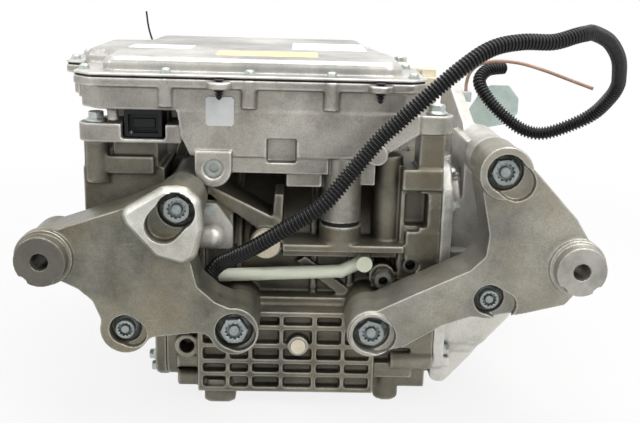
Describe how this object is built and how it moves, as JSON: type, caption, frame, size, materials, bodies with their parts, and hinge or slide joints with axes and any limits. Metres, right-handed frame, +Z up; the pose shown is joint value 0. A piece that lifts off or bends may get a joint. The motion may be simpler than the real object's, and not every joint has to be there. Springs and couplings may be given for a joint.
{
  "type": "electric drive unit",
  "caption": "Cast aluminium electric axle drive with a flat inverter on top, side gear case, two bored mounting brackets, output flanges and a loose corrugated conduit.",
  "frame": {"origin": "centre of the footprint at floor level, cords left out", "axes": "+X along the motor axis towards the gear case, +Y from the brackets to the rear, +Z up"},
  "size_m": [0.6445, 0.4599, 0.4106],
  "materials": {
    "cast_aluminium": "cast, matt",
    "pale_aluminium": "fine cast, matt",
    "rubber": "matt",
    "black_plastic": "moulded",
    "board_plastic": "moulded",
    "cream_plastic": "moulded",
    "pale_green_plastic": "translucent nylon",
    "copper": "bare",
    "brown_plastic": "insulation",
    "galvanised_sheet": "zinc plated",
    "zinc_steel": "zinc plated",
    "steel": "ground"
  },
  "bodies": {
    "housing": {"motor_housing": "cast_aluminium", "left_end_shield": "cast_aluminium", "gear_case": "pale_aluminium", "end_shield_bolts": "zinc_steel", "gear_case_bolts": "zinc_steel", "stator_core": "steel", "stator_windings": "copper", "rotor_outer_rings": "steel", "resolver_stator": "copper", "layshaft_outer_rings": "steel", "diff_outer_rings": "steel", "output_seals": "rubber", "inverter_housing": "cast_aluminium", "inverter_lid": "pale_aluminium", "lid_gasket": "rubber", "lid_screws": "zinc_steel", "inverter_bolts": "zinc_steel", "control_connector": "black_plastic", "hv_connector": "cream_plastic", "harness_clips": "black_plastic", "power_module": "black_plastic", "dc_link_capacitor": "board_plastic", "control_board": "board_plastic", "phase_busbars": "copper", "coolant_stub_seal": "rubber", "locating_dowel": "zinc_steel", "coolant_elbow": "pale_aluminium", "elbow_screw": "zinc_steel", "oil_pipe": "pale_green_plastic", "core_plugs": "cream_plastic", "vent_nipple": "zinc_steel", "drain_plug": "zinc_steel", "left_bracket": "cast_aluminium", "right_bracket": "cast_aluminium", "left_bracket_bolts": "zinc_steel", "right_bracket_bolts": "zinc_steel", "earth_plate": "galvanised_sheet", "conduit": "black_plastic", "conduit_gland": "black_plastic", "earth_lead": "brown_plastic", "earth_terminal": "zinc_steel", "sensor_lead": "black_plastic", "sensor_grommet": "rubber"},
    "rotor": {"rotor_core": "steel", "rotor_shaft": "steel", "rotor_inner_rings": "steel", "resolver_rotor": "steel", "input_pinion": "steel"},
    "layshaft": {"layshaft": "steel", "layshaft_wheel": "steel", "layshaft_inner_rings": "steel"},
    "differential": {"ring_gear": "steel", "diff_carrier": "steel", "diff_inner_rings": "steel", "diff_pin": "steel"},
    "left_output": {"left_output": "steel"},
    "right_output": {"right_output": "steel"},
    "spider_a": {"spider_gear_a": "steel"},
    "spider_b": {"spider_gear_b": "steel"}
  },
  "joints": [
    {"name": "rotor_spin", "type": "hinge", "parent": "housing", "child": "rotor", "pos_m": [0, 0, 0.141], "axis": [1, 0, 0], "continuous": true},
    {"name": "layshaft_spin", "type": "hinge", "parent": "housing", "child": "layshaft", "pos_m": [0, 0.06836, 0.18256], "axis": [1, 0, 0], "continuous": true},
    {"name": "differential_spin", "type": "hinge", "parent": "housing", "child": "differential", "pos_m": [0, 0.135, 0.108], "axis": [1, 0, 0], "continuous": true},
    {"name": "left_output_spin", "type": "hinge", "parent": "differential", "child": "left_output", "pos_m": [0, 0.135, 0.108], "axis": [1, 0, 0], "continuous": true},
    {"name": "right_output_spin", "type": "hinge", "parent": "differential", "child": "right_output", "pos_m": [0, 0.135, 0.108], "axis": [1, 0, 0], "continuous": true},
    {"name": "spider_a_spin", "type": "hinge", "parent": "differential", "child": "spider_a", "pos_m": [0.18, 0.135, 0.108], "axis": [0, 1, 0], "continuous": true},
    {"name": "spider_b_spin", "type": "hinge", "parent": "differential", "child": "spider_b", "pos_m": [0.18, 0.135, 0.108], "axis": [0, 1, 0], "continuous": true}
  ],
  "couplings": [
    {"joint": "layshaft_spin", "follows": "rotor_spin", "ratio": -0.35593},
    {"joint": "differential_spin", "follows": "rotor_spin", "ratio": 0.11086},
    {"joint": "right_output_spin", "follows": "left_output_spin", "ratio": -1},
    {"joint": "spider_a_spin", "follows": "left_output_spin", "ratio": 1.6},
    {"joint": "spider_b_spin", "follows": "left_output_spin", "ratio": -1.6}
  ]
}
